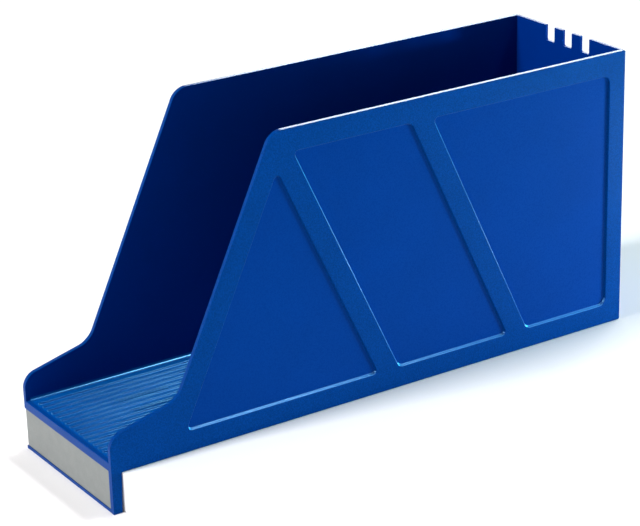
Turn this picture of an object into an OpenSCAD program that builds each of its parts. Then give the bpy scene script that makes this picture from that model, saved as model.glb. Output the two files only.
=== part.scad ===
// Landscape magazine file holder: two side walls with a low slanted front, a ribbed floor,
// a notched back wall, and a label front that hangs over the edge of the shelf.
// Depth runs along Y with the label at -Y, width along X and height along Z.
// Outlines are drawn as (depth from the label front, height above the shelf).

/* [Overall] */
// Width across the two side walls
body_w = 97; // [90:1:110]
// Depth from the label front to the back wall
body_d = 336; // [330:1:350]
// Height of the side walls above the shelf
body_h = 162; // [158:1:172]
// How far the label front hangs below the shelf
lip_drop = 22.7; // [22:0.1:26]

/* [Walls] */
// Thickness of the side walls at their borders
side_t = 2.6; // [2.4:0.1:3.2]
// Thickness of the back wall
back_t = 2; // [1.8:0.1:3]
// Thickness of the floor under its ribs
floor_t = 2.2; // [1.8:0.1:3]
// Height of the floor's plain surface above the shelf
floor_top = 6; // [5:0.1:7]

/* [Side wall outline] */
// Height of the low front end, where it would meet the front edge
nose_h = 20.1; // [18:0.1:24]
// Depth at which the low front end meets the steep edge
bend_d = 40.8; // [38:0.2:44]
// Height at which the low front end meets the steep edge
bend_h = 30.7; // [28:0.1:34]
// Depth at which the steep edge meets the top edge
shoulder_d = 102.4; // [98:0.2:106]
// Radius of the low front corner
nose_r = 9; // [6:0.5:10]
// Radius of the hollow corner at the foot of the steep edge
bend_r = 13; // [8:0.5:16]
// Radius of the corner at the top of the steep edge
shoulder_r = 10; // [6:0.5:12]
// Depth of the tongue that carries the label front, at the shelf
tongue_d = 6; // [5:0.1:7]
// Depth of the tongue at its lower end
tongue_foot_d = 5; // [4.5:0.1:5.5]

/* [Recessed panels] */
// Depth of the recesses in the outer faces
recess = 1.2; // [0.6:0.1:1.4]
// Height of the lower edge of the recesses above the shelf
border_low = 11.5; // [10:0.5:14]
// Width of the border above the recesses
border_top = 12.4; // [10:0.2:14]
// Width of the border behind the recesses
border_rear = 10.6; // [9:0.2:13]
// Depth at which the front recess starts
front_panel_d = 44.2; // [43:0.2:47]
// Width of the foot of the front recess
front_panel_w = 121.8; // [116:0.1:122]
// Width of the middle recess
middle_panel_w = 75.3; // [70:0.2:78]
// Width of a slanted rib between two recesses, measured along the depth
rail_w = 12.9; // [12:0.1:15]
// Lean of the slanted ribs from the horizontal, in degrees
rail_lean = 65; // [63:0.5:66]
// Radius of the open corners of the recesses
panel_r = 5; // [3:0.5:6]
// Radius of the pointed corners of the recesses
point_r = 3; // [2:0.5:4]

/* [Floor] */
// Number of ribs along the floor
rib_count = 16; // [10:2:16]
// Distance from rib to rib
rib_pitch = 5.14; // [4.8:0.02:5.2]
// Height of a rib
rib_h = 1; // [0.6:0.1:1.4]
// Plain floor between the label front and the ribs
rib_start = 0.6; // [0.4:0.1:2]
// Plain floor between the ribs and the back wall
rib_stop = 3; // [1:0.5:6]
// Number of divider places across the width
divider_count = 3; // [1:2:3]
// Ribs between two divider places
divider_step = 3; // [2:1:3]
// Width of a divider slot in the floor
slot_w = 2.2; // [1.8:0.1:2.4]
// Depth at which the divider slots start
slot_d = 41; // [38:1:60]
// Length of a divider slot
slot_l = 30; // [20:1:60]

/* [Back wall] */
// Width of a divider notch in the top edge
notch_w = 8; // [6:0.2:9]
// Depth of a divider notch below the top edge
notch_h = 9; // [6:0.5:12]

/* [Label] */
// Thickness of the label front
front_t = 2.6; // [2.4:0.1:3]
// Height of the lower edge of the card window, above the foot of the label front
window_low = 1.8; // [1.6:0.1:3]
// Height of the card window
window_h = 22.2; // [20:0.1:23]
// Width of the border at the closed end of the card window
window_end = 3.2; // [3:0.1:5]
// Height of the card hidden behind each lip
card_hidden = 0.7; // [0.5:0.1:0.8]
// Thickness of the lips that hold the card
card_lip_t = 0.5; // [0.4:0.1:0.6]
// Thickness of the card
card_t = 0.6; // [0.4:0.1:0.6]

/* [Hidden] */
cut = 1;                                 // how far a cutter runs past the face it opens
arc_steps = 10;                          // straight stretches in one rounded corner
inner_w = body_w - 2 * side_t;
card_slack = 0.25;                       // sliding room across the card's thickness
card_front_gap = 0.1;                    // the part of that room that is in front of the card
groove_t = card_t + card_slack;
groove_room = 0.2;                       // room above, below and at each end of the card
overlap = 0.01;                          // how far two cutters run into each other
rib_root = 0.1;                          // how far a rib reaches into the floor
rib_facets = 24;
corner_r = 1;                            // small corner radius of edges and notches
rib_w = rib_pitch / 2;
rib_front = front_t + rib_start;
rib_back = body_d - back_t - rib_stop;
window_z = window_low - lip_drop;
card_w = body_w - window_end - 2 * groove_room;
card_h = window_h + 2 * card_hidden;
blue = [0, 0.27, 0.60];
rail_run = (body_h - border_top - border_low) / tan(rail_lean);   // drift of a slanted rib
steep = atan2(body_h - bend_h, shoulder_d - bend_d);
middle_d = front_panel_d + front_panel_w + rail_w;
rear_d = middle_d + middle_panel_w + rail_w;

// Outline of a side wall, from the foot of its tongue round to the low front corner
wall_points = [
    [0, -lip_drop], [tongue_foot_d, -lip_drop], [tongue_d, 0], [body_d, 0],
    [body_d, body_h], [shoulder_d, body_h], [bend_d, bend_h], [0, nose_h]];
wall_radii = [0, 0, 0, corner_r, corner_r, shoulder_r, bend_r, nose_r];

// Outlines of the three recesses: a triangle, a leaning strip and the rear field
panel_top = body_h - border_top;
apex_h = border_low + front_panel_w * tan(steep) * tan(rail_lean) / (tan(steep) + tan(rail_lean));
front_panel = [
    [front_panel_d, border_low], [front_panel_d + front_panel_w, border_low],
    [front_panel_d + (apex_h - border_low) / tan(steep), apex_h]];
middle_panel = [
    [middle_d, border_low], [middle_d + middle_panel_w, border_low],
    [middle_d + middle_panel_w - rail_run, panel_top], [middle_d - rail_run, panel_top]];
rear_panel = [
    [rear_d, border_low], [body_d - border_rear, border_low],
    [body_d - border_rear, panel_top], [rear_d - rail_run, panel_top]];
recesses = [
    [front_panel, [point_r, point_r, point_r]],
    [middle_panel, [panel_r, point_r, panel_r, point_r]],
    [rear_panel, [panel_r, panel_r, panel_r, point_r]]];

// Points of the arc of radius r that rounds corner p between its neighbours a and b
function corner_arc(a, p, b, r) =
    let (u = (a - p) / norm(a - p),
         v = (b - p) / norm(b - p),
         half = acos(u * v) / 2,
         c = p + (u + v) / norm(u + v) * r / sin(half),
         from = p + u * r / tan(half) - c,
         to = p + v * r / tan(half) - c,
         start = atan2(from[1], from[0]),
         raw = atan2(to[1], to[0]) - start,
         turn = raw > 180 ? raw - 360 : raw < -180 ? raw + 360 : raw)
    [for (i = [0:arc_steps])
        c + r * [cos(start + turn * i / arc_steps), sin(start + turn * i / arc_steps)]];

// The points of an outline with every corner rounded by its own radius
function rounded(points, radii) =
    let (n = len(points))
    [for (i = [0:n - 1])
        each radii[i] == 0
            ? [points[i]]
            : corner_arc(points[(i + n - 1) % n], points[i], points[(i + 1) % n], radii[i])];

// Moves from the outline's measures to the part's own frame
module place() {
    translate([0, -body_d / 2, lip_drop]) children();
}

// Stands an outline of (depth, height) up as a plate that reaches from x to x + t
module plate(x, t) {
    translate([x, 0, 0]) rotate([90, 0, 90]) linear_extrude(t) children();
}

// Pocket for the label card, open towards the front and towards -X
module card_channel() {
    left = -body_w / 2 - cut;
    length = body_w - window_end + cut;
    translate([left, -cut, window_z])
        cube([length, card_lip_t + cut + overlap, window_h]);
    translate([left, card_lip_t, window_z - card_hidden - groove_room])
        cube([length, groove_t, card_h + 2 * groove_room]);
}

// Right side wall with its three recesses on the outer face
module side_wall() {
    difference() {
        plate(inner_w / 2, side_t) polygon(rounded(wall_points, wall_radii));
        for (field = recesses)
            plate(body_w / 2 - recess, recess + cut) polygon(rounded(field[0], field[1]));
    }
}

// Places of the dividers across the width
module divider_places() {
    for (i = [0:divider_count - 1])
        translate([(i - (divider_count - 1) / 2) * divider_step * rib_pitch, 0, 0]) children();
}

module right_side_panel() {
    color(blue) place() side_wall();
}

module left_side_panel() {
    color(blue) place() difference() {
        mirror([1, 0, 0]) side_wall();
        card_channel();
    }
}

module back_panel() {
    color(blue) place() difference() {
        translate([-inner_w / 2, body_d - back_t, 0]) cube([inner_w, back_t, body_h]);
        divider_places()
            translate([0, body_d - back_t - cut, body_h - notch_h])
                rotate([-90, 0, 0]) mirror([0, 1, 0]) linear_extrude(back_t + 2 * cut)
                    polygon(rounded(
                        [[-notch_w / 2, 0], [notch_w / 2, 0],
                         [notch_w / 2, notch_h + cut], [-notch_w / 2, notch_h + cut]],
                        [corner_r, corner_r, 0, 0]));
    }
}

// One rib of the floor, flat on top with round ends
module rib() {
    round_r = rib_w / 2;
    linear_extrude(rib_h + rib_root) {
        translate([-round_r, rib_front + round_r])
            square([rib_w, rib_back - rib_front - rib_w]);
        for (y = [rib_front + round_r, rib_back - round_r])
            translate([0, y]) circle(r = round_r, $fn = rib_facets);
    }
}

module ribbed_floor() {
    color(blue) place() difference() {
        union() {
            translate([-inner_w / 2, front_t, floor_top - floor_t])
                cube([inner_w, body_d - front_t - back_t, floor_t]);
            for (i = [0:rib_count - 1])
                translate([(i - (rib_count - 1) / 2) * rib_pitch, 0, floor_top - rib_root]) rib();
        }
        divider_places()
            translate([-slot_w / 2, slot_d, floor_top - floor_t - cut])
                cube([slot_w, slot_l, floor_t + rib_h + 2 * cut]);
    }
}

module label_front() {
    color(blue) place() difference() {
        translate([-inner_w / 2, 0, -lip_drop]) cube([inner_w, front_t, lip_drop + floor_top]);
        card_channel();
    }
}

module label_card() {
    color([0.72, 0.74, 0.73]) place()
        translate([groove_room - body_w / 2, card_lip_t + card_front_gap, window_z - card_hidden])
            cube([card_w, card_t, card_h]);
}

right_side_panel();
left_side_panel();
back_panel();
ribbed_floor();
label_front();
label_card();
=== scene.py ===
"""Looks of the landscape magazine file: moulded blue polystyrene shell with a grey label card.

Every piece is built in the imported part's own frame, in metres: the label front looks along -Y, the back
wall is at +Y, and the shelf that the holder stands on is level with the foot of the back wall.
"""

from __future__ import annotations

import logging
import math
from dataclasses import dataclass
from enum import Enum, IntEnum
from typing import Iterable, Sequence

import bmesh
import bpy
from mathutils import Matrix, Vector

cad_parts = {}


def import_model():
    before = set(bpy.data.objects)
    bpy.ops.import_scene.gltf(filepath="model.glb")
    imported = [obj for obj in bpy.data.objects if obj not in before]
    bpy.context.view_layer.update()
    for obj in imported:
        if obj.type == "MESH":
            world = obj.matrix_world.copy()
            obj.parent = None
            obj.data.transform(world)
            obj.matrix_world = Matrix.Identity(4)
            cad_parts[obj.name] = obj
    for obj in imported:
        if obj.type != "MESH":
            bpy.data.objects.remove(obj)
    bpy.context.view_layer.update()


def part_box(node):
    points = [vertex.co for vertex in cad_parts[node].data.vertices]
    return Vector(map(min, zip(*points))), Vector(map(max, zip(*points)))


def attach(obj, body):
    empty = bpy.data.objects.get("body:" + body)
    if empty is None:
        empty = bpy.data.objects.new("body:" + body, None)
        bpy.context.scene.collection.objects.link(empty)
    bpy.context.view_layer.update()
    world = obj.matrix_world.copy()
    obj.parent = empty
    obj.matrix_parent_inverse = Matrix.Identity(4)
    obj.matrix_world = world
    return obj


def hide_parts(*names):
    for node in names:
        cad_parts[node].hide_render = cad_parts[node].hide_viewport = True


LOG = logging.getLogger("magazine_file")
MM = 0.001
SHELL_BODY = "holder"
CARD_BODY = "card"

ARC_SEGMENTS = 10  # straight stretches in a rounded corner of an outline
ROUND_STEPS = 3  # facets across a rounded edge
MERGE_DISTANCE = 1e-7
LEVEL_TOLERANCE = 1e-6
SHARP_ANGLE = math.radians(50)  # a steeper bend between two faces stays crisp
FLAT_WEIGHT = 100  # the largest face at a vertex alone decides its shading
NOISE_SPAN = (0.3, 0.7)  # where most values of a noise lie
SPECK_SPAN = (0.35, 0.65)  # narrower, for harder specks
SUM_SPAN = (0.7, 1.3)  # where most values of two added noises lie


class Side(Enum):
    """The two side walls, as the sign of the X axis that their outer face looks along."""

    RIGHT = 1
    LEFT = -1


class WallFinish(IntEnum):
    """Finishes of a side wall, in the order of its material slots."""

    BORDER = 0
    FIELD = 1
    EDGE = 2
    INSIDE = 3
    # On rims that look upwards: a paler blue, painted highlight.
    RIM = 4


class FloorFinish(IntEnum):
    """Finishes of the floor, in the order of its material slots."""

    PLAIN = 0
    RIM = 1


# ---------------------------------------------------------------------------------------------
# Colour and nodes
# ---------------------------------------------------------------------------------------------


def linear(code: str) -> tuple[float, float, float, float]:
    """Turns an sRGB hex value into a linear colour.

    Args:
        code: Six hex digits with a leading hash.

    Returns:
        Linear red, green, blue, and an alpha of one.
    """
    channels = [int(code[i : i + 2], 16) / 255 for i in (1, 3, 5)]
    red, green, blue = [c / 12.92 if c <= 0.04045 else ((c + 0.055) / 1.055) ** 2.4 for c in channels]
    return red, green, blue, 1.0


def add_node(
    tree: bpy.types.NodeTree, kind: str, settings: dict | None = None, links: dict | None = None,
) -> bpy.types.Node:
    """Adds one shader node with its settings and its incoming links.

    Args:
        tree: Node tree of the material.
        kind: Type name of the node, such as ShaderNodeTexNoise.
        settings: Values by name. A name in the node's inputs sets that socket, any other an attribute.
        links: Output sockets by the name of the input that each one feeds.

    Returns:
        The new node.
    """
    node = tree.nodes.new(kind)
    for name, value in (settings or {}).items():
        if name in node.inputs:
            node.inputs[name].default_value = value
        else:
            setattr(node, name, value)
    for name, socket in (links or {}).items():
        tree.links.new(socket, node.inputs[name])
    return node


def new_material(name: str) -> tuple[bpy.types.Material, bpy.types.NodeTree]:
    """Makes a material with an empty node tree.

    Args:
        name: Name of the material.

    Returns:
        The material and its tree.
    """
    material = bpy.data.materials.new(name)
    material.use_nodes = True
    material.node_tree.nodes.clear()
    return material, material.node_tree


def swing(
    tree: bpy.types.NodeTree, noise: bpy.types.NodeSocket, span: tuple[float, float], middle: float,
    reach: float,
) -> bpy.types.NodeSocket:
    """Turns a noise into a value that swings about a middle.

    Args:
        tree: Node tree of the material.
        noise: Output socket of the noise.
        span: The noise's values that give the lowest and the highest result.
        middle: Middle of the result.
        reach: How far the result goes to either side of it.

    Returns:
        Output socket of the result.
    """
    low, high = span
    return add_node(
        tree, "ShaderNodeMapRange",
        {"From Min": low, "From Max": high, "To Min": middle - reach, "To Max": middle + reach},
        {"Value": noise},
    ).outputs["Result"]


def wire_output(tree: bpy.types.NodeTree, shader: bpy.types.Node) -> None:
    """Wires a shader to the material's output."""
    add_node(tree, "ShaderNodeOutputMaterial", links={"Surface": shader.outputs[0]})


# ---------------------------------------------------------------------------------------------
# The few ways in which faces are drawn, cut and rounded
# ---------------------------------------------------------------------------------------------


@dataclass(frozen=True)
class Corner:
    """One corner of a flat outline, measured along and up its plane, and the radius that rounds it."""

    along: float
    up: float
    radius: float = 0.0


def outline_face(bm: bmesh.types.BMesh, outline: Sequence[Corner], plane: Matrix) -> bmesh.types.BMFace:
    """Makes one flat face from an outline and rounds its corners.

    Args:
        bm: Mesh that takes the face.
        outline: Corners of the outline, in order.
        plane: Moves (along, up, 0) to the place of the face in the part's frame.

    Returns:
        The rounded face.
    """
    verts = [bm.verts.new(plane @ Vector((c.along, c.up, 0))) for c in outline]
    face = bm.faces.new(verts)
    for index, corner in enumerate(outline):
        if corner.radius <= 0:
            continue
        around = (outline[index - 1], corner, outline[(index + 1) % len(outline)])
        before, here, after = (Vector((c.along, c.up)) for c in around)
        reach = corner.radius / math.tan((before - here).angle(after - here) / 2)
        made = bmesh.ops.bevel(
            bm, geom=[verts[index]], offset=reach, offset_type="OFFSET", segments=ARC_SEGMENTS,
            profile=0.5, affect="VERTICES", material=-1,
        )
        face = next(f for v in made["verts"] for f in v.link_faces)
    face.normal_update()
    return face


def step_face(
    bm: bmesh.types.BMesh, face: bmesh.types.BMFace, inwards: float, along: float, finish: int = 0,
) -> None:
    """Insets one face by a distance and moves it along its normal.

    Args:
        bm: Mesh of the face.
        face: Face that is moved.
        inwards: How far its edge moves inwards.
        along: How far it moves along its normal.
        finish: Material index of the ring of faces that is left round it.
    """
    ring = bmesh.ops.inset_region(
        bm, faces=[face], thickness=inwards, depth=along, use_boundary=True, use_even_offset=True,
    )
    for side in ring["faces"]:
        side.material_index = finish


def quarter_turn() -> list[tuple[float, float]]:
    """The steps of a rounded edge, as pairs of angles from 0 to 90 degrees."""
    angles = [math.pi / 2 * i / ROUND_STEPS for i in range(ROUND_STEPS + 1)]
    return list(zip(angles, angles[1:]))


def round_over(bm: bmesh.types.BMesh, face: bmesh.types.BMFace, radius: float) -> None:
    """Rounds the edge of a face, which ends one radius further along its normal.

    Args:
        bm: Mesh of the face.
        face: Face whose edge is rounded.
        radius: Radius of the edge.
    """
    for low, high in quarter_turn():
        inwards = radius * (math.cos(low) - math.cos(high))
        step_face(bm, face, inwards, radius * (math.sin(high) - math.sin(low)))


def sink_face(
    bm: bmesh.types.BMesh, face: bmesh.types.BMFace, depth: float, rim: float, draft: float, finish: int,
) -> None:
    """Sinks a face below its surroundings, with a rounded rim and foot and a wall with draft.

    Args:
        bm: Mesh of the face.
        face: Face that becomes the floor of the recess.
        depth: Depth of the recess, negative to raise the face instead.
        rim: Radius of the rounded rim and foot.
        draft: How far the straight wall leans inwards.
        finish: Material index of the rim, the wall and the foot.
    """
    sign = -1 if depth > 0 else 1
    for low, high in quarter_turn():
        inwards = rim * (math.sin(high) - math.sin(low))
        step_face(bm, face, inwards, sign * rim * (math.cos(low) - math.cos(high)), finish)
    step_face(bm, face, draft, sign * (abs(depth) - 2 * rim), finish)
    for low, high in quarter_turn():
        inwards = rim * (math.cos(low) - math.cos(high))
        step_face(bm, face, inwards, sign * rim * (math.sin(high) - math.sin(low)), finish)


def extrude_face(bm: bmesh.types.BMesh, face: bmesh.types.BMFace, by: Sequence[float]) -> bmesh.types.BMFace:
    """Extrudes a face into a body.

    Args:
        bm: Mesh of the face.
        face: Face that stays behind as one end of the body.
        by: Direction and length of the body.

    Returns:
        The face at the far end.
    """
    made = bmesh.ops.extrude_face_region(bm, geom=[face])
    moved = [item for item in made["geom"] if isinstance(item, bmesh.types.BMVert)]
    bmesh.ops.translate(bm, verts=moved, vec=by)
    return next(item for item in made["geom"] if isinstance(item, bmesh.types.BMFace))


def extrude_edges(bm: bmesh.types.BMesh, edges: Iterable[bmesh.types.BMEdge], by: Sequence[float]) -> None:
    """Draws walls out of edges.

    Args:
        bm: Mesh of the edges.
        edges: Edges that the walls start from.
        by: Direction and length of the walls.
    """
    made = bmesh.ops.extrude_edge_only(bm, edges=list(edges))
    moved = [item for item in made["geom"] if isinstance(item, bmesh.types.BMVert)]
    bmesh.ops.translate(bm, verts=moved, vec=by)


def soft_slab(
    bm: bmesh.types.BMesh, outline: Sequence[Corner], plane: Matrix, by: Sequence[float], radius: float,
) -> tuple[bmesh.types.BMFace, bmesh.types.BMFace]:
    """Makes a slab from an outline and rounds the edges of both its broad faces.

    Args:
        bm: Empty mesh that takes the slab.
        outline: Corners of the outline, in order.
        plane: Plane of the outline, one radius inside the finished face.
        by: From there to one radius short of the opposite face.
        radius: Radius of the edges.

    Returns:
        The broad faces at the start and at the far end.
    """
    far = extrude_face(bm, outline_face(bm, outline, plane), by)
    bmesh.ops.recalc_face_normals(bm, faces=bm.faces)
    near = max((f for f in bm.faces if f is not far), key=lambda f: f.calc_area())
    round_over(bm, near, radius)
    round_over(bm, far, radius)
    return near, far


def open_edges(bm: bmesh.types.BMesh, height: float | None = None) -> list[bmesh.types.BMEdge]:
    """Finds the edges that border a hole in the mesh.

    Args:
        bm: Mesh that is searched.
        height: Height that the edges must lie at, or None for all of them.

    Returns:
        The edges.
    """
    return [
        edge for edge in bm.edges
        if len(edge.link_faces) < 2
        and (height is None or all(abs(v.co.z - height) < LEVEL_TOLERANCE for v in edge.verts))
    ]


def fill_between(bm: bmesh.types.BMesh, edges: Sequence[bmesh.types.BMEdge], normal: Vector) -> None:
    """Fills the flat field between an outer loop of edges and the loops inside it.

    Args:
        bm: Mesh of the edges.
        edges: Edges of all the loops.
        normal: Direction that the field looks along.
    """
    made = bmesh.ops.triangle_fill(bm, edges=edges, use_beauty=True, use_dissolve=False, normal=normal)
    for face in (item for item in made["geom"] if isinstance(item, bmesh.types.BMFace)):
        if face.normal.dot(normal) < 0:
            face.normal_flip()


def finish_piece(
    bm: bmesh.types.BMesh, name: str, materials: Sequence[bpy.types.Material],
) -> bpy.types.Object:
    """Turns a mesh into a smooth shaded object that keeps its flat fields flat.

    Args:
        bm: Finished mesh, which is freed.
        name: Name of the piece.
        materials: Materials in the order of the faces' material indices.

    Returns:
        The new object, at the origin.
    """
    bmesh.ops.remove_doubles(bm, verts=bm.verts, dist=MERGE_DISTANCE)
    bmesh.ops.recalc_face_normals(bm, faces=bm.faces)
    mesh = bpy.data.meshes.new(name)
    bm.to_mesh(mesh)
    bm.free()
    for material in materials:
        mesh.materials.append(material)
    mesh.shade_smooth()
    mesh.set_sharp_from_angle(angle=SHARP_ANGLE)
    piece = bpy.data.objects.new(name, mesh)
    bpy.context.scene.collection.objects.link(piece)
    flatten = piece.modifiers.new("keep_fields_flat", "WEIGHTED_NORMAL")
    flatten.mode = "FACE_AREA"
    flatten.weight = FLAT_WEIGHT
    flatten.keep_sharp = True
    return piece


def hand_over(piece: bpy.types.Object, body: str, node: str) -> None:
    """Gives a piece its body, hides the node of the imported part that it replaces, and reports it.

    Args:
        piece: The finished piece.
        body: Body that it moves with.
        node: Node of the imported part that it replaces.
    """
    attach(piece, body)
    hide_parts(node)
    LOG.info("%s: %d faces, rides on %s", piece.name, len(piece.data.polygons), body)


# ---------------------------------------------------------------------------------------------
# Finishes
# ---------------------------------------------------------------------------------------------


@dataclass(frozen=True)
class MouldedPolystyrene:
    """Injection-moulded polystyrene, coloured through, with the grain of its mould.

    A real grain is finer, about a tenth of a millimetre. It is drawn coarser than that, so that it shows.
    The sheen is kept low and tinted, so that white light doesn't wash the blue out.
    """

    name: str
    colour: str = "#003a86"
    sheen_tint: str = "#00d0ff"
    sheen: float = 0.06
    roughness: float = 0.36
    roughness_swing: float = 0.08
    grain_mm: float = 0.7
    grain_height_mm: float = 0.03
    flow_mm: float = 38.0
    mottle: float = 0.04
    speckle_and_glitter: float = 0.03
    refraction: float = 1.59

    def material(self) -> bpy.types.Material:
        """Builds the node material: grain, slow flow clouds, and the relief of the grain.

        Returns:
            The material.
        """
        material, tree = new_material(self.name)
        place = add_node(tree, "ShaderNodeTexCoord").outputs["Object"]
        grain = add_node(
            tree, "ShaderNodeTexNoise",
            {"Scale": 1 / (self.grain_mm * MM), "Detail": 3.0, "Roughness": 0.6}, {"Vector": place},
        ).outputs["Fac"]
        flow = add_node(
            tree, "ShaderNodeTexNoise", {"Scale": 1 / (self.flow_mm * MM), "Detail": 2.0}, {"Vector": place},
        ).outputs["Fac"]
        clouds = swing(tree, flow, NOISE_SPAN, 1.0, self.mottle)
        # Specks of the grain's size in the colour: faint ones are tone that differs at random; strong ones, as
        # on the grained border, are painted glitter, a painted highlight.
        specks = swing(tree, grain, SPECK_SPAN, 1.0, self.speckle_and_glitter)
        cast = add_node(
            tree, "ShaderNodeVectorMath", {"operation": "SCALE", "Vector": linear(self.colour)[:3]},
            {"Scale": clouds},
        )
        tint = add_node(
            tree, "ShaderNodeVectorMath", {"operation": "SCALE"},
            {"Vector": cast.outputs["Vector"], "Scale": specks},
        )
        gloss = swing(tree, grain, NOISE_SPAN, self.roughness, self.roughness_swing)
        relief = add_node(
            tree, "ShaderNodeBump", {"Strength": 1.0, "Distance": self.grain_height_mm * MM},
            {"Height": grain},
        )
        shader = add_node(
            tree, "ShaderNodeBsdfPrincipled",
            {"IOR": self.refraction, "Specular IOR Level": self.sheen,
             "Specular Tint": linear(self.sheen_tint)},
            {"Base Color": tint.outputs["Vector"], "Roughness": gloss,
             "Normal": relief.outputs["Normal"]},
        )
        wire_output(tree, shader)
        return material


@dataclass(frozen=True)
class LabelBoard:
    """Uncoated grey label card: matte, with the fine cloudiness of pressed fibres.

    The fibres are drawn coarser than real ones, so that they show.
    """

    name: str = "label_board"
    colour: str = "#838786"
    fibre_mm: float = 0.9
    fibre_height_mm: float = 0.02
    cloud_mm: float = 6.0
    cloud: float = 0.06
    roughness: float = 0.85

    def material(self) -> bpy.types.Material:
        """Builds the node material: two sizes of cloud, and the relief of the fibres.

        Returns:
            The material.
        """
        material, tree = new_material(self.name)
        place = add_node(tree, "ShaderNodeTexCoord").outputs["Object"]
        fibre = add_node(
            tree, "ShaderNodeTexNoise", {"Scale": 1 / (self.fibre_mm * MM), "Detail": 4.0},
            {"Vector": place},
        ).outputs["Fac"]
        cloud = add_node(
            tree, "ShaderNodeTexNoise", {"Scale": 1 / (self.cloud_mm * MM), "Detail": 3.0},
            {"Vector": place},
        ).outputs["Fac"]
        both = add_node(tree, "ShaderNodeMath", {"operation": "ADD"})
        tree.links.new(fibre, both.inputs[0])
        tree.links.new(cloud, both.inputs[1])
        shade = swing(tree, both.outputs["Value"], SUM_SPAN, 1.0, self.cloud)
        tint = add_node(
            tree, "ShaderNodeVectorMath", {"operation": "SCALE", "Vector": linear(self.colour)[:3]},
            {"Scale": shade},
        )
        relief = add_node(
            tree, "ShaderNodeBump", {"Strength": 0.6, "Distance": self.fibre_height_mm * MM},
            {"Height": fibre},
        )
        shader = add_node(
            tree, "ShaderNodeBsdfPrincipled", {"Roughness": self.roughness},
            {"Base Color": tint.outputs["Vector"], "Normal": relief.outputs["Normal"]},
        )
        wire_output(tree, shader)
        return material


@dataclass(frozen=True)
class StudioPaper:
    """Plain pale paper of the studio floor, the shelf board and the backdrop: dead matte."""

    name: str
    glow: float = 0.0
    colour: str = "#fafafa"
    roughness: float = 0.9

    def material(self) -> bpy.types.Material:
        """Builds the node material.

        Returns:
            The material.
        """
        material, tree = new_material(self.name)
        shader = add_node(
            tree, "ShaderNodeBsdfPrincipled",
            {"Base Color": linear(self.colour), "Roughness": self.roughness,
             "Emission Color": linear(self.colour), "Emission Strength": self.glow},
        )
        wire_output(tree, shader)
        return material


# All of the shell is one plastic, and its finishes differ as their parts of the mould do. Set here, not by the
# material, are their different blues, the tints and strengths of their sheen, and the refraction of 1.8 on
# rims, where polystyrene has 1.59. The darker blue of the inside is painted shade, and the paler blues of the
# ribbed floor and of the rims that look upwards are painted light.

# Borders from a spark-eroded mould: matte, with a fine glitter, part of which is painted into the colour as
# specks: painted highlight.
GRAINED = MouldedPolystyrene("polystyrene_grained", speckle_and_glitter=0.22)
# Fields from a mould stoned smooth: an even satin with broad, soft shades.
SATIN = MouldedPolystyrene(
    "polystyrene_satin", colour="#003689", roughness=0.28, roughness_swing=0.04, grain_height_mm=0.006,
)
# The inside, off a polished core: smooth, with clearer reflections, in a darker blue that is painted shade.
POLISHED_WITH_PAINTED_SHADE = MouldedPolystyrene(
    "polystyrene_polished_painted_shade", colour="#002e84", roughness=0.2, roughness_swing=0.03, grain_height_mm=0.003,
)
# The ribbed floor, off the same core: as smooth, in a paler blue that is painted light on the floor.
RIBBED_WITH_PAINTED_LIGHT = MouldedPolystyrene(
    "polystyrene_ribbed_painted_light", colour="#004a98", roughness=0.2, roughness_swing=0.03, grain_height_mm=0.003,
)
# The ribs' rounded rims: the smoothest, so that each catches a thin bright line. They share the floor's paler
# blue, which is painted light.
RIB_RIM = MouldedPolystyrene(
    "polystyrene_rib_rim", colour="#004a98", sheen_tint="#64c8ff", sheen=1.0, refraction=1.8,
    roughness=0.16, roughness_swing=0.02, grain_height_mm=0.001,
)
# The level top edges, as hands would rub them: glossy, a crisp pale line against a light.
RUBBED_EDGE = MouldedPolystyrene(
    "polystyrene_rubbed_edge", sheen_tint="#b4eeff", sheen=0.35, roughness=0.24, roughness_swing=0.04,
    grain_height_mm=0.002,
)
# Rims of the fields that look upwards: shiny, and in a paler blue that is painted highlight, a pale thin line.
PAINTED_HIGHLIGHT_RIM = MouldedPolystyrene(
    "polystyrene_rim_painted_highlight", colour="#3f7fce", sheen_tint="#82c8ff", sheen=1.0, refraction=1.8, roughness=0.22,
    roughness_swing=0.03, grain_height_mm=0.002,
)


# ---------------------------------------------------------------------------------------------
# The holder
# ---------------------------------------------------------------------------------------------


@dataclass(frozen=True)
class Place:
    """Where the outlines' own measures lie in the part's frame.

    Outlines are measured as depth behind the label face and height above the shelf.
    """

    front: float
    shelf: float

    def upright(self, x: float) -> Matrix:
        """Matrix that stands an outline of (depth, height) up in the plane at x, seen from +X."""
        return Matrix(((0, 0, 1, x), (1, 0, 0, self.front), (0, 1, 0, self.shelf), (0, 0, 0, 1)))

    def across(self, depth: float) -> Matrix:
        """Matrix that puts an outline of (x, height) in the plane at a depth, seen from the front."""
        return Matrix(((1, 0, 0, 0), (0, 0, -1, self.front + depth), (0, 1, 0, self.shelf), (0, 0, 0, 1)))

    def level(self, height: float) -> Matrix:
        """Matrix that lays an outline of (x, depth) flat at a height, seen from above."""
        return Matrix(((1, 0, 0, 0), (0, 1, 0, self.front), (0, 0, 1, self.shelf + height), (0, 0, 0, 1)))


@dataclass(frozen=True)
class CardPocket:
    """Pocket for the label card behind two thin lips, open at its left end."""

    low: float = 1.8 * MM
    window: float = 22.2 * MM
    hidden: float = 0.9 * MM
    lip: float = 0.5 * MM
    back: float = 1.35 * MM
    closed_end: float = 3.2 * MM

    def notch(self, drop: float) -> list[Corner]:
        """Draws the pocket's cross-section, from its upper lip round to its lower one.

        Args:
            drop: How far the label front reaches below the shelf.

        Returns:
            Corners of (depth, height).
        """
        foot = self.low - drop
        head = foot + self.window
        return [
            Corner(0, head), Corner(self.lip, head), Corner(self.lip, head + self.hidden),
            Corner(self.back, head + self.hidden), Corner(self.back, foot - self.hidden),
            Corner(self.lip, foot - self.hidden), Corner(self.lip, foot), Corner(0, foot),
        ]


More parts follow.
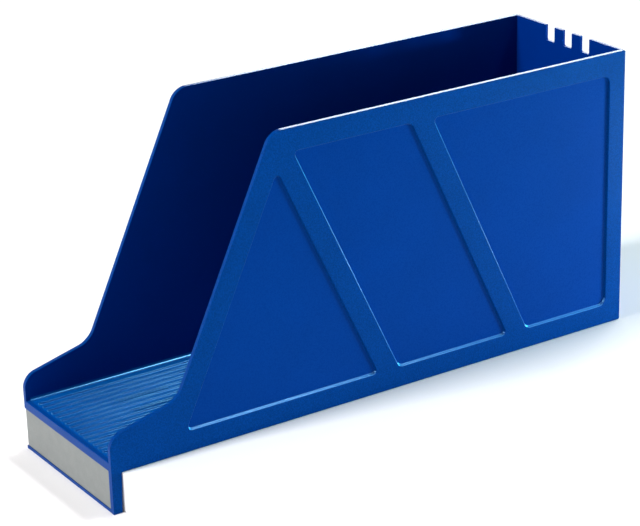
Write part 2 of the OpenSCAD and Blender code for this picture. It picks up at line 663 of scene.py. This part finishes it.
@dataclass
class SideWall:
    """One side wall: slanted front, three recessed fields outside, and the tongue below the shelf."""

    side: Side
    place: Place
    outer_x: float
    thickness: float
    depth: float
    height: float
    lip_drop: float
    pocket: CardPocket
    nose_height: float = 20.1 * MM
    nose_radius: float = 9 * MM
    bend: Corner = Corner(40.8 * MM, 30.7 * MM, 13 * MM)
    shoulder_depth: float = 102.4 * MM
    shoulder_radius: float = 10 * MM
    rear_radius: float = 1 * MM
    tongue_depth: float = 6.0 * MM
    tongue_foot: float = 5.0 * MM
    border_low: float = 11.5 * MM
    border_top: float = 12.4 * MM
    border_rear: float = 10.6 * MM
    front_field_start: float = 44.2 * MM
    front_field_width: float = 121.8 * MM
    middle_field_width: float = 75.3 * MM
    rail_width: float = 12.9 * MM
    rail_lean: float = math.radians(65)
    open_radius: float = 5 * MM
    point_radius: float = 3 * MM
    recess: float = 1.2 * MM
    rim_radius: float = 0.5 * MM
    rim_draft: float = 0.1 * MM
    edge_radius: float = 0.2 * MM
    painted_highlight_rise: float = 0.2  # a rim gets the paler finish, a painted highlight, where its normal rises at least this much
    level_rise: float = 0.98  # an edge is level where its normal rises at least this much

    def outline(self) -> list[Corner]:
        """Draws the wall's outline, with the open end of the card pocket on the left one.

        Returns:
            Corners of (depth, height).
        """
        points = [
            Corner(self.tongue_foot, -self.lip_drop), Corner(self.tongue_depth, 0),
            Corner(self.depth, 0, self.rear_radius), Corner(self.depth, self.height, self.rear_radius),
            Corner(self.shoulder_depth, self.height, self.shoulder_radius), self.bend,
            Corner(0, self.nose_height, self.nose_radius),
        ]
        if self.side is Side.LEFT:
            points += self.pocket.notch(self.lip_drop)
        return points + [Corner(0, -self.lip_drop)]

    def fields(self) -> list[list[Corner]]:
        """Draws the three recessed fields: a triangle, a leaning strip and the rear field.

        Returns:
            One outline of (depth, height) corners for each field.
        """
        low, top = self.border_low, self.height - self.border_top
        steep = (self.height - self.bend.up) / (self.shoulder_depth - self.bend.along)
        lean = math.tan(self.rail_lean)
        run = (top - low) / lean
        front, width = self.front_field_start, self.front_field_width
        apex = width * steep * lean / (steep + lean)
        middle = front + width + self.rail_width
        middle_end = middle + self.middle_field_width
        rear = middle_end + self.rail_width
        end = self.depth - self.border_rear
        wide, tight = self.open_radius, self.point_radius
        return [
            [Corner(front, low, tight), Corner(front + width, low, tight),
             Corner(front + apex / steep, low + apex, tight)],
            [Corner(middle, low, wide), Corner(middle_end, low, tight),
             Corner(middle_end - run, top, wide), Corner(middle - run, top, tight)],
            [Corner(rear, low, wide), Corner(end, low, wide),
             Corner(end, top, wide), Corner(rear - run, top, tight)],
        ]

    def sort_edges(self, bm: bmesh.types.BMesh) -> None:
        """Keeps the paler finish, a painted highlight, on rims that look upwards, and gives level top edges
        the rubbed one.

        Args:
            bm: Mesh of the right-hand wall.
        """
        bm.normal_update()
        for face in bm.faces:
            if face.material_index == WallFinish.RIM and face.normal.z < self.painted_highlight_rise:
                face.material_index = WallFinish.BORDER
            elif face.material_index == WallFinish.BORDER and face.normal.z >= self.level_rise:
                face.material_index = WallFinish.EDGE

    def build(self, finishes: Sequence[bpy.types.Material]) -> bpy.types.Object:
        """Builds the wall as a right-hand one and mirrors it where needed.

        Args:
            finishes: Materials in the order of WallFinish.

        Returns:
            The finished wall.
        """
        bm = bmesh.new()
        outer = abs(self.outer_x)
        start = self.place.upright(outer - self.thickness + self.edge_radius)
        by = (self.thickness - 2 * self.edge_radius, 0, 0)
        inner, cover = soft_slab(bm, self.outline(), start, by, self.edge_radius)
        inner.material_index = WallFinish.INSIDE
        bmesh.ops.delete(bm, geom=[cover], context="FACES_ONLY")
        for outline in self.fields():
            field = outline_face(bm, outline, self.place.upright(outer))
            sink_face(bm, field, self.recess, self.rim_radius, self.rim_draft, WallFinish.RIM)
            field.material_index = WallFinish.FIELD
        fill_between(bm, open_edges(bm), Vector((1, 0, 0)))
        self.sort_edges(bm)
        if self.side is Side.LEFT:
            bmesh.ops.scale(bm, vec=(-1, 1, 1), verts=bm.verts)
        name = self.side.name.lower()
        piece = finish_piece(bm, f"{name}_wall", finishes)
        hand_over(piece, SHELL_BODY, f"{name}_side_panel")
        return piece


@dataclass
class BackWall:
    """Back wall with three notches in its top edge for the hook of a divider."""

    place: Place
    inner_half: float
    depth: float
    thickness: float
    height: float
    notch_step: float = 15.42 * MM
    notch_width: float = 8.0 * MM
    notch_depth: float = 9.0 * MM
    notch_radius: float = 1 * MM
    notch_brow: float = 0.3 * MM
    edge_radius: float = 0.2 * MM

    def outline(self) -> list[Corner]:
        """Draws the wall's outline; its ends run a little way into the side walls, so no seam shows.

        Returns:
            Corners of (x, height).
        """
        reach = self.inner_half + 2 * self.edge_radius
        half, deep, top = self.notch_width / 2, self.height - self.notch_depth, self.height
        points = [Corner(-reach, 0), Corner(reach, 0), Corner(reach, top)]
        for x in (self.notch_step, 0, -self.notch_step):
            points += [
                Corner(x + half, top, self.notch_brow), Corner(x + half, deep, self.notch_radius),
                Corner(x - half, deep, self.notch_radius), Corner(x - half, top, self.notch_brow),
            ]
        return points + [Corner(-reach, top)]

    def build(self, finish: bpy.types.Material) -> bpy.types.Object:
        """Builds the wall from its outer face inwards.

        Args:
            finish: Material of the whole wall.

        Returns:
            The finished wall.
        """
        bm = bmesh.new()
        start = self.place.across(self.depth - self.edge_radius)
        by = (0, 2 * self.edge_radius - self.thickness, 0)
        soft_slab(bm, self.outline(), start, by, self.edge_radius)
        piece = finish_piece(bm, "back_wall", [finish])
        hand_over(piece, SHELL_BODY, "back_panel")
        return piece


@dataclass
class RibbedFloor:
    """Floor with lengthwise ribs, three divider slots, and a fillet up each side wall."""

    place: Place
    inner_half: float
    front: float
    rear: float
    top: float
    thickness: float
    rib_height: float
    rib_count: int = 16
    rib_step: float = 5.14 * MM
    rib_start: float = 0.6 * MM
    rib_stop: float = 3 * MM
    rib_soft: float = 0.3 * MM
    rib_draft: float = 0.05 * MM
    end_rounding: float = 0.9  # share of a strip's half width that rounds its ends
    slot_width: float = 2.2 * MM
    slot_start: float = 41 * MM
    slot_length: float = 30 * MM
    slot_ribs: int = 3
    fillet: float = 1.6 * MM
    root: float = 0.3 * MM

    def strip(self, x: float, width: float, start: float, end: float) -> list[Corner]:
        """Draws a strip with round ends.

        Args:
            x: Middle of the strip across the floor.
            width: Width of the strip.
            start: Depth at which it starts.
            end: Depth at which it ends.

        Returns:
            Corners of (x, depth).
        """
        half = width / 2
        rounding = half * self.end_rounding
        places = ((x - half, start), (x + half, start), (x + half, end), (x - half, end))
        return [Corner(a, b, rounding) for a, b in places]

    def build(self, finishes: Sequence[bpy.types.Material]) -> bpy.types.Object:
        """Builds the floor from one filled field with raised ribs and open slots.

        Args:
            finishes: Materials in the order of FloorFinish.

        Returns:
            The finished floor.
        """
        bm = bmesh.new()
        level = self.place.level(self.top)
        half = self.inner_half
        sheet = [Corner(-half, self.front), Corner(half, self.front), Corner(half, self.rear),
                 Corner(-half, self.rear)]
        slot_end = self.slot_start + self.slot_length
        slots = [
            self.strip(place * self.slot_ribs * self.rib_step, self.slot_width, self.slot_start, slot_end)
            for place in (-1, 0, 1)
        ]
        for opening in (sheet, *slots):
            bmesh.ops.delete(bm, geom=[outline_face(bm, opening, level)], context="FACES_ONLY")
        extrude_edges(bm, bm.edges, (0, 0, -self.thickness))
        for index in range(self.rib_count):
            x = (index - (self.rib_count - 1) / 2) * self.rib_step
            foot = self.strip(x, self.rib_step / 2, self.front + self.rib_start, self.rear - self.rib_stop)
            rib = outline_face(bm, foot, level)
            if rib.normal.z < 0:
                rib.normal_flip()
            sink_face(bm, rib, -self.rib_height, self.rib_soft, self.rib_draft, FloorFinish.RIM)
        top = self.place.shelf + self.top
        fill_between(bm, open_edges(bm, top), Vector((0, 0, 1)))
        fill_between(bm, open_edges(bm, top - self.thickness), Vector((0, 0, -1)))
        for sign in (-1, 1):
            self.add_fillet(bm, sign)
        piece = finish_piece(bm, "floor", finishes)
        hand_over(piece, SHELL_BODY, "ribbed_floor")
        return piece

    def add_fillet(self, bm: bmesh.types.BMesh, sign: int) -> None:
        """Adds the hollow fillet between the floor and one side wall, rooted in both of them.

        Args:
            bm: Mesh of the floor.
            sign: Side of the floor, as the sign of X.
        """
        root, radius = self.root, self.fillet
        front, top = self.place.front + self.front, self.place.shelf + self.top
        corner = Vector((sign * self.inner_half, front, top))
        start = bm.verts.new(corner + Vector((0, 0, radius)))
        known = set(bm.verts) - {start}
        bmesh.ops.spin(
            bm, geom=[start], cent=corner + Vector((-sign * radius, 0, radius)), axis=(0, sign, 0),
            angle=math.pi / 2, steps=ARC_SEGMENTS, use_merge=False,
        )
        arc = sorted((v for v in bm.verts if v not in known), key=lambda v: -v.co.z)
        hidden = ((-sign * radius, 0, -root), (sign * root, 0, -root), (sign * root, 0, radius))
        near = bm.faces.new([*arc, *(bm.verts.new(corner + Vector(offset)) for offset in hidden)])
        far = extrude_face(bm, near, (0, self.rear - self.front + root, 0))
        for side in {near, *(f for v in far.verts for f in v.link_faces)}:
            side.material_index = FloorFinish.RIM


@dataclass
class LabelFront:
    """Plate that hangs over the shelf edge, with the pocket for the label card."""

    place: Place
    inner_half: float
    outer_half: float
    thickness: float
    drop: float
    top: float
    pocket: CardPocket
    edge_radius: float = 0.2 * MM
    brow_radius: float = 0.4 * MM

    def profile(self) -> list[Corner]:
        """Draws the cross-section of the plate with the card pocket in it.

        Returns:
            Corners of (depth, height).
        """
        return [
            Corner(0, -self.drop, self.edge_radius), Corner(self.thickness, -self.drop, self.edge_radius),
            Corner(self.thickness, self.top), Corner(0, self.top, self.brow_radius),
            *self.pocket.notch(self.drop),
        ]

    def build(self, finish: bpy.types.Material) -> bpy.types.Object:
        """Builds the pocketed length, walls the pocket up at its closed end and carries on solid.

        Args:
            finish: Material of the whole plate.

        Returns:
            The finished plate.
        """
        bm = bmesh.new()
        reach = self.inner_half + self.edge_radius
        close = self.outer_half - self.pocket.closed_end
        face = outline_face(bm, self.profile(), self.place.upright(-reach))
        end = extrude_face(bm, face, (close + reach, 0, 0))
        rim = list(end.verts)
        bmesh.ops.delete(bm, geom=[end], context="FACES_ONLY")
        stand = self.place.upright(close)
        mouth = [stand @ Vector((c.along, c.up, 0)) for c in self.pocket.notch(self.drop)]
        bm.faces.new([min(rim, key=lambda v: (v.co - point).length) for point in mouth])
        extrude_edges(bm, open_edges(bm), (reach - close, 0, 0))
        bmesh.ops.contextual_create(bm, geom=open_edges(bm))
        piece = finish_piece(bm, "label_plate", [finish])
        hand_over(piece, SHELL_BODY, "label_front")
        return piece


@dataclass
class LabelCard:
    """Card that slides in the pocket, with softly worn corners."""

    corner_radius: float = 0.8 * MM
    edge_radius: float = 0.1 * MM

    def build(self, finish: bpy.types.Material) -> bpy.types.Object:
        """Builds the card in the space of its node.

        Args:
            finish: Material of the card.

        Returns:
            The finished card.
        """
        low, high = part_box("label_card")
        rear = high.y - self.edge_radius
        plane = Matrix(((1, 0, 0, 0), (0, 0, -1, rear), (0, 1, 0, 0), (0, 0, 0, 1)))
        places = ((low.x, low.z), (high.x, low.z), (high.x, high.z), (low.x, high.z))
        outline = [Corner(x, z, self.corner_radius) for x, z in places]
        bm = bmesh.new()
        soft_slab(bm, outline, plane, (0, low.y + self.edge_radius - rear, 0), self.edge_radius)
        piece = finish_piece(bm, "card", [finish])
        hand_over(piece, CARD_BODY, "label_card")
        return piece


@dataclass
class MagazineFile:
    """The whole holder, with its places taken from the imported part."""

    rib_height: float = 1.0 * MM
    pocket: CardPocket = CardPocket()

    def build(self) -> None:
        """Builds every piece in order."""
        wall_low, wall_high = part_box("right_side_panel")
        back_low, back_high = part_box("back_panel")
        floor_low, floor_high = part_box("ribbed_floor")
        plate_low, plate_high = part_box("label_front")
        front, shelf = wall_low.y, back_low.z
        place = Place(front=front, shelf=shelf)
        drop = shelf - wall_low.z
        depth = wall_high.y - front
        height = wall_high.z - shelf
        # inside is a darker blue, painted shade; rim is a paler blue, painted highlight.
        border, field, edge, inside, rim = (
            finish.material() for finish in (GRAINED, SATIN, RUBBED_EDGE, POLISHED_WITH_PAINTED_SHADE, PAINTED_HIGHLIGHT_RIM)
        )
        for side in Side:
            SideWall(
                side=side, place=place, outer_x=side.value * wall_high.x,
                thickness=wall_high.x - wall_low.x, depth=depth, height=height, lip_drop=drop,
                pocket=self.pocket,
            ).build([border, field, edge, inside, rim])
        BackWall(
            place=place, inner_half=back_high.x, depth=depth, thickness=back_high.y - back_low.y,
            height=height,
        ).build(inside)
        # The floor and its rims are in the paler blue that is painted light.
        floor_top = floor_high.z - self.rib_height
        RibbedFloor(
            place=place, inner_half=floor_high.x, front=floor_low.y - front, rear=floor_high.y - front,
            top=floor_top - shelf, thickness=floor_top - floor_low.z, rib_height=self.rib_height,
        ).build([RIBBED_WITH_PAINTED_LIGHT.material(), RIB_RIM.material()])
        LabelFront(
            place=place, inner_half=plate_high.x, outer_half=wall_high.x,
            thickness=plate_high.y - plate_low.y, drop=drop, top=plate_high.z - shelf, pocket=self.pocket,
        ).build(border)
        LabelCard().build(LabelBoard().material())


# ---------------------------------------------------------------------------------------------
# Studio
# ---------------------------------------------------------------------------------------------


@dataclass(frozen=True)
class Softbox:
    """A rectangular studio light that looks at a point."""

    name: str
    at: tuple[float, float, float]
    size: tuple[float, float]
    watts: float
    colour: str
    aim: tuple[float, float, float] = (0.0, 0.0, 0.08)

    def place(self) -> None:
        """Adds the light to the scene, out of the camera's sight."""
        data = bpy.data.lights.new(self.name, "AREA")
        data.shape = "RECTANGLE"
        data.size, data.size_y = self.size
        data.energy = self.watts
        data.color = linear(self.colour)[:3]
        light = bpy.data.objects.new(self.name, data)
        light.location = self.at
        light.rotation_euler = (Vector(self.aim) - Vector(self.at)).to_track_quat("-Z", "Y").to_euler()
        light.visible_camera = False
        bpy.context.scene.collection.objects.link(light)


SOFTBOXES = (
    # Lies across the ceiling, so that every rounded rim below it mirrors a stretch of it.
    Softbox("rear_overhead", (0.0, 1.5, 3.0), (2.0, 0.5), 60, "#fffcfc"),
    # Bluish light that rakes the near wall from behind and fades towards the front.
    Softbox("raking_strip", (0.6, 1.3, 0.12), (0.25, 0.12), 19.5, "#00fcff"),
    # Just above the board, where the leaning rims of the fields mirror it.
    Softbox("low_kicker", (0.134, 0.385, 0.035), (0.06, 0.04), 0.6, "#c8f4ff", (0.05, 0.0, 0.1)),
    # Lights the label card and the low front.
    Softbox("front_overhead", (-0.1, -1.8, 1.6), (0.5, 0.8), 56, "#fffcfc"),
    # Where the level top edges mirror it.
    Softbox("edge_light", (-1.6, 1.3, 0.83), (0.75, 0.25), 7, "#f6fdff", (0.0, 0.05, 0.18)),
)


@dataclass(frozen=True)
class Studio:
    """Pale floor, shelf board under the holder, backdrop, lights and camera."""

    board_top: float
    board_front: float
    board_foot: float = 0.0005
    half: float = 3.4
    sheet: float = 0.1
    floor_thickness: float = 0.02
    backdrop_height: float = 1.2
    backdrop_glow: float = 0.2
    room_light: float = 0.03
    lens_mm: float = 129.1
    sensor_mm: float = 36.0
    azimuth: float = math.radians(56.9)
    elevation: float = math.radians(21.6)
    roll: float = math.radians(1.6)
    distance: float = 1.2605
    look_at: tuple[float, float, float] = (-0.0004, -0.0065, 0.0842)

    def build(self) -> None:
        """Builds the whole studio."""
        paper = StudioPaper("studio_paper").material()
        glowing = StudioPaper("lit_backdrop", glow=self.backdrop_glow).material()
        near, far, tall = self.half, self.half + self.sheet, self.backdrop_height
        self.add_slab("studio_floor", (-far, -far, -self.floor_thickness), (far, far, 0.0), paper)
        board_low = (-near, self.board_front, self.board_foot)
        self.add_slab("shelf_board", board_low, (near, near, self.board_top), paper)
        self.add_slab("backdrop_left", (-far, -near, 0), (-near, near, tall), glowing)
        self.add_slab("backdrop_right", (near, -near, 0), (far, near, tall), glowing)
        self.add_slab("backdrop_front", (-near, -far, 0), (near, -near, tall), glowing)
        self.add_slab("backdrop_rear", (-near, near, 0), (near, far, tall), glowing)
        self.add_lights()
        self.add_camera()

    def add_slab(
        self, name: str, low: Sequence[float], high: Sequence[float], material: bpy.types.Material,
    ) -> None:
        """Adds one flat stage slab.

        Args:
            name: Name of the slab.
            low: Corner with the lowest coordinates.
            high: Corner with the highest coordinates.
            material: Material of the slab.
        """
        bm = bmesh.new()
        bmesh.ops.create_cube(bm, size=1)
        bmesh.ops.scale(bm, vec=Vector(high) - Vector(low), verts=bm.verts)
        bmesh.ops.translate(bm, vec=(Vector(high) + Vector(low)) / 2, verts=bm.verts)
        mesh = bpy.data.meshes.new(name)
        bm.to_mesh(mesh)
        bm.free()
        mesh.materials.append(material)
        slab = bpy.data.objects.new(name, mesh)
        bpy.context.scene.collection.objects.link(slab)

    def add_lights(self) -> None:
        """Adds the lights and the faint light of the room."""
        for box in SOFTBOXES:
            box.place()
        world = bpy.data.worlds.new("room")
        world.use_nodes = True
        sky = world.node_tree.nodes["Background"]
        sky.inputs["Color"].default_value = linear("#ffffff")
        sky.inputs["Strength"].default_value = self.room_light
        bpy.context.scene.world = world
        bpy.context.scene.view_settings.view_transform = "Standard"

    def add_camera(self) -> None:
        """Adds the camera at its angle, turned a little about its own axis."""
        data = bpy.data.cameras.new("camera")
        data.lens = self.lens_mm
        data.sensor_width = self.sensor_mm
        camera = bpy.data.objects.new("camera", data)
        back = Vector((
            math.sin(self.azimuth) * math.cos(self.elevation),
            -math.cos(self.azimuth) * math.cos(self.elevation),
            math.sin(self.elevation),
        ))
        aim = (-back).to_track_quat("-Z", "Y").to_matrix()
        pose = (aim @ Matrix.Rotation(-self.roll, 3, "Z")).to_4x4()
        pose.translation = Vector(self.look_at) + back * self.distance
        camera.matrix_world = pose
        bpy.context.scene.collection.objects.link(camera)
        bpy.context.scene.camera = camera


BOARD_GAP = 0.2 * MM  # the shell stands this far over the board, so that the two never flicker
HOOK_ROOM = 6.3 * MM  # from the label face to the board's front edge, behind the tongues


def main() -> None:
    """Loads the part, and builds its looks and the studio."""
    logging.basicConfig(level=logging.INFO, format="%(name)s: %(message)s")
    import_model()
    MagazineFile().build()
    low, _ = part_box("back_panel")
    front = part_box("label_front")[0].y
    Studio(board_top=low.z - BOARD_GAP, board_front=front + HOOK_ROOM).build()


if __name__ == "__main__":
    main()
